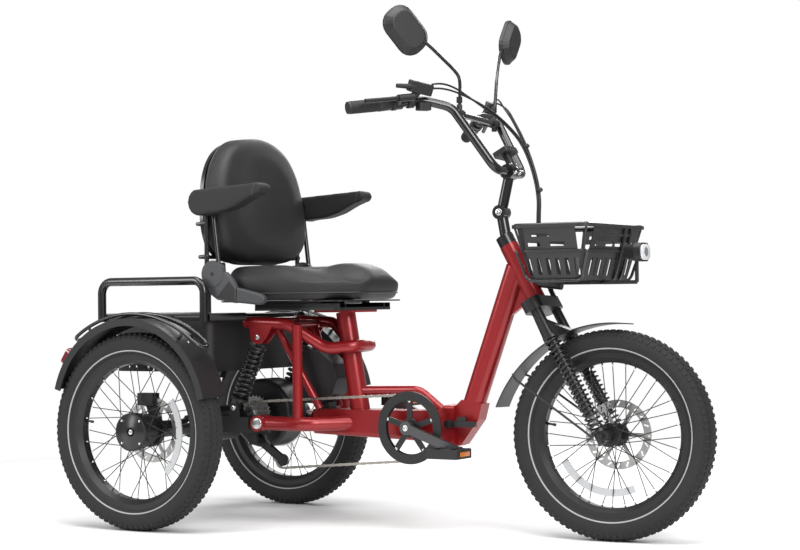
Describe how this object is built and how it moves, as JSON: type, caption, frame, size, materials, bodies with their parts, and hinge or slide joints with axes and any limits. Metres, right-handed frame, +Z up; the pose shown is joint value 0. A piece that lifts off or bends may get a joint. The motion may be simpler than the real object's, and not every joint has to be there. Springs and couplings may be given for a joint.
{
  "type": "electric tricycle",
  "caption": "Folding electric tricycle with a sliding armchair seat, rear rack, front basket, coil-spring suspension and wire-spoked fat tyres.",
  "frame": {"origin": "on the ground below the middle of the whole vehicle, between the three wheels", "axes": "+X forward along the wheelbase, +Y to the rider's left across the track, +Z up"},
  "size_m": [1.7894, 0.845, 1.3926],
  "materials": {
    "black_metal": "satin black",
    "lamp": "clear lens in a black body",
    "red_lens": "red lens",
    "red_paint": "satin deep red",
    "soft_black": "matt black",
    "spring_steel": "dark coated steel",
    "steel": "brushed",
    "tyre": "matt black rubber",
    "vinyl": "soft black vinyl"
  },
  "bodies": {
    "chassis": {"rear_frame": "red_paint", "swing_arm": "black_metal", "drive_case": "black_metal", "motor": "black_metal", "cassette": "steel", "derailleur": "black_metal", "chain": "steel", "shock_bodies": "black_metal", "shock_springs": "spring_steel", "rear_fenders": "black_metal", "rack": "black_metal", "rack_hoops": "black_metal", "storage_bin": "soft_black", "tail_lamps": "red_lens", "seat_base": "black_metal", "controller_case": "soft_black", "fender_rails": "black_metal"},
    "wheel_left": {"rear_left_tyre": "tyre", "rear_left_rim": "black_metal", "rear_left_hub": "black_metal", "rear_left_rotor": "steel"},
    "wheel_right": {"rear_right_tyre": "tyre", "rear_right_rim": "black_metal", "rear_right_hub": "black_metal", "rear_right_rotor": "steel"},
    "crankset": {"cranks": "black_metal", "chainring": "black_metal"},
    "pedal_l": {"pedal_left": "soft_black"},
    "pedal_r": {"pedal_right": "soft_black"},
    "front_end": {"front_frame": "red_paint", "hinge_lever": "red_paint", "basket": "black_metal", "basket_frame": "black_metal", "head_lamp": "lamp"},
    "steering": {"fork_crown": "black_metal", "fork_lowers": "black_metal", "fork_springs": "spring_steel", "front_fender": "black_metal", "stem": "black_metal", "handlebar": "black_metal", "grips": "soft_black", "brake_levers": "black_metal", "display": "soft_black", "mirrors": "soft_black"},
    "wheel_front": {"front_tyre": "tyre", "front_rim": "black_metal", "front_hub": "black_metal", "front_rotor": "steel"},
    "seat": {"seat_rails": "black_metal", "seat_cushion": "vinyl", "recliner_covers": "soft_black"},
    "backrest": {"backrest_cushion": "vinyl", "backrest_frame": "black_metal"},
    "armrest_l": {"armrest_left": "soft_black"},
    "armrest_r": {"armrest_right": "soft_black"}
  },
  "joints": [
    {"name": "rear_left_spin", "type": "hinge", "parent": "chassis", "child": "wheel_left", "pos_m": [-0.614, 0.3725, 0.27], "axis": [0, 1, 0], "continuous": true},
    {"name": "rear_right_spin", "type": "hinge", "parent": "chassis", "child": "wheel_right", "pos_m": [-0.614, -0.3725, 0.27], "axis": [0, 1, 0], "continuous": true},
    {"name": "crank_spin", "type": "hinge", "parent": "chassis", "child": "crankset", "pos_m": [0.077, 0, 0.279], "axis": [0, 1, 0], "continuous": true},
    {"name": "pedal_left_spin", "type": "hinge", "parent": "crankset", "child": "pedal_l", "pos_m": [-0.08275, 0.15, 0.33714], "axis": [0, 1, 0], "continuous": true},
    {"name": "pedal_right_spin", "type": "hinge", "parent": "crankset", "child": "pedal_r", "pos_m": [0.23675, -0.15, 0.22086], "axis": [0, 1, 0], "continuous": true},
    {"name": "frame_fold", "type": "hinge", "parent": "chassis", "child": "front_end", "pos_m": [0.171, 0.048, 0.284], "axis": [0, 0, -1], "range_deg": [-90, 0]},
    {"name": "steer", "type": "hinge", "parent": "front_end", "child": "steering", "pos_m": [0.38755, 0, 0.68109], "axis": [0.4848, 0, -0.8746], "range_deg": [-35, 45]},
    {"name": "front_spin", "type": "hinge", "parent": "steering", "child": "wheel_front", "pos_m": [0.63596, 0.00126, 0.26998], "axis": [-0.061, 0.9976, -0.0338], "continuous": true},
    {"name": "seat_slide", "type": "slide", "parent": "chassis", "child": "seat", "axis": [1, 0, 0], "range_m": [-0.03, 0.1]},
    {"name": "backrest_recline", "type": "hinge", "parent": "seat", "child": "backrest", "pos_m": [-0.452, 0, 0.674], "axis": [0, -1, 0], "range_deg": [0, 40]},
    {"name": "armrest_left_lift", "type": "hinge", "parent": "backrest", "child": "armrest_l", "pos_m": [-0.47423, 0.255, 0.89929], "axis": [0, -1, 0], "range_deg": [0, 90]},
    {"name": "armrest_right_lift", "type": "hinge", "parent": "backrest", "child": "armrest_r", "pos_m": [-0.47423, -0.255, 0.89929], "axis": [0, -1, 0], "range_deg": [0, 90]}
  ]
}
